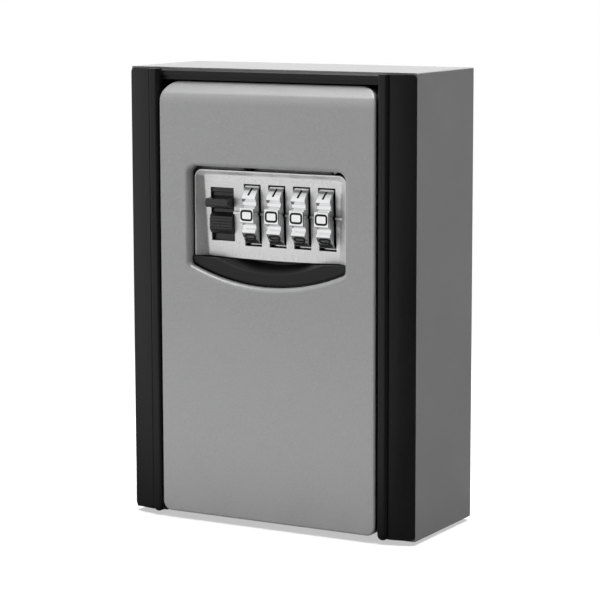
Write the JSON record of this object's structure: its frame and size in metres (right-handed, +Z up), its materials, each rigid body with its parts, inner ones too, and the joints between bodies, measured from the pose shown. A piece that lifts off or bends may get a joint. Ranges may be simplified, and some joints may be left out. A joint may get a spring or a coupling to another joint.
{
  "type": "key lock box",
  "caption": "Wall-mounted key box: grey metal case, black side rails, drop-down door with combination dials, release slide and finger pull.",
  "frame": {"origin": "centre of the back face, on the wall, midway between the four wall screw holes", "axes": "+X to the right seen from the front, +Y from the front to the wall, +Z up"},
  "size_m": [0.085, 0.036, 0.12],
  "materials": {
    "case_paint": "grey powder coat",
    "door_paint": "silver-grey powder coat",
    "frame_plastic": "black, fine texture",
    "pull_plastic": "black, fine texture",
    "panel_satin": "satin silver",
    "dial_chrome": "polished",
    "button_plastic": "black",
    "sleeve_brass": "turned",
    "steel_pin": "drawn",
    "spring_steel": "drawn wire and strip",
    "zinc_plate": "zinc plated",
    "screw_steel": "zinc plated",
    "cover_plastic": "black moulding"
  },
  "bodies": {
    "case": {"casing": "case_paint", "front_frame": "frame_plastic", "hinge_pins": "steel_pin"},
    "door": {"door": "door_paint", "lock_panel": "panel_satin", "finger_pull": "pull_plastic", "chassis": "zinc_plate", "chassis_screws": "screw_steel", "dial_shaft": "steel_pin", "shaft_clips": "spring_steel", "detent_spring": "spring_steel", "return_spring": "spring_steel", "latch_spring": "spring_steel", "back_cover": "cover_plastic", "cover_screws": "screw_steel"},
    "dial_1": {"dial_1": "dial_chrome", "code_sleeve_1": "sleeve_brass"},
    "dial_2": {"dial_2": "dial_chrome", "code_sleeve_2": "sleeve_brass"},
    "dial_3": {"dial_3": "dial_chrome", "code_sleeve_3": "sleeve_brass"},
    "dial_4": {"dial_4": "dial_chrome", "code_sleeve_4": "sleeve_brass"},
    "release": {"release_button": "button_plastic", "slide_plate": "zinc_plate", "fence": "zinc_plate", "fence_rivets": "steel_pin"},
    "latch": {"latch_bolt": "zinc_plate"},
    "reset": {"reset_lever": "button_plastic"}
  },
  "joints": [
    {"name": "door_hinge", "type": "hinge", "parent": "case", "child": "door", "pos_m": [0, -0.0312, -0.056], "axis": [1, 0, 0], "range_deg": [0, 90]},
    {"name": "dial_1_spin", "type": "hinge", "parent": "door", "child": "dial_1", "pos_m": [-0.006, -0.0248, 0.022], "axis": [1, 0, 0], "continuous": true, "deforming": ["detent_spring"]},
    {"name": "dial_2_spin", "type": "hinge", "parent": "door", "child": "dial_2", "pos_m": [0.0014, -0.0248, 0.022], "axis": [1, 0, 0], "continuous": true, "deforming": ["detent_spring"]},
    {"name": "dial_3_spin", "type": "hinge", "parent": "door", "child": "dial_3", "pos_m": [0.0088, -0.0248, 0.022], "axis": [1, 0, 0], "continuous": true, "deforming": ["detent_spring"]},
    {"name": "dial_4_spin", "type": "hinge", "parent": "door", "child": "dial_4", "pos_m": [0.0162, -0.0248, 0.022], "axis": [1, 0, 0], "continuous": true, "deforming": ["detent_spring"]},
    {"name": "release_slide", "type": "slide", "parent": "door", "child": "release", "axis": [0, 0, -1], "range_m": [0, 0.0018], "stiffness_N_per_m": 400, "springref_m": -0.003, "deforming": ["return_spring"]},
    {"name": "latch_slide", "type": "slide", "parent": "door", "child": "latch", "axis": [0, 0, -1], "range_m": [0, 0.0018], "stiffness_N_per_m": 300, "springref_m": -0.003, "deforming": ["latch_spring"]},
    {"name": "reset_slide", "type": "slide", "parent": "door", "child": "reset", "axis": [1, 0, 0], "range_m": [0, 0.003]}
  ],
  "couplings": [
    {"joint": "latch_slide", "follows": "release_slide", "ratio": 1}
  ]
}
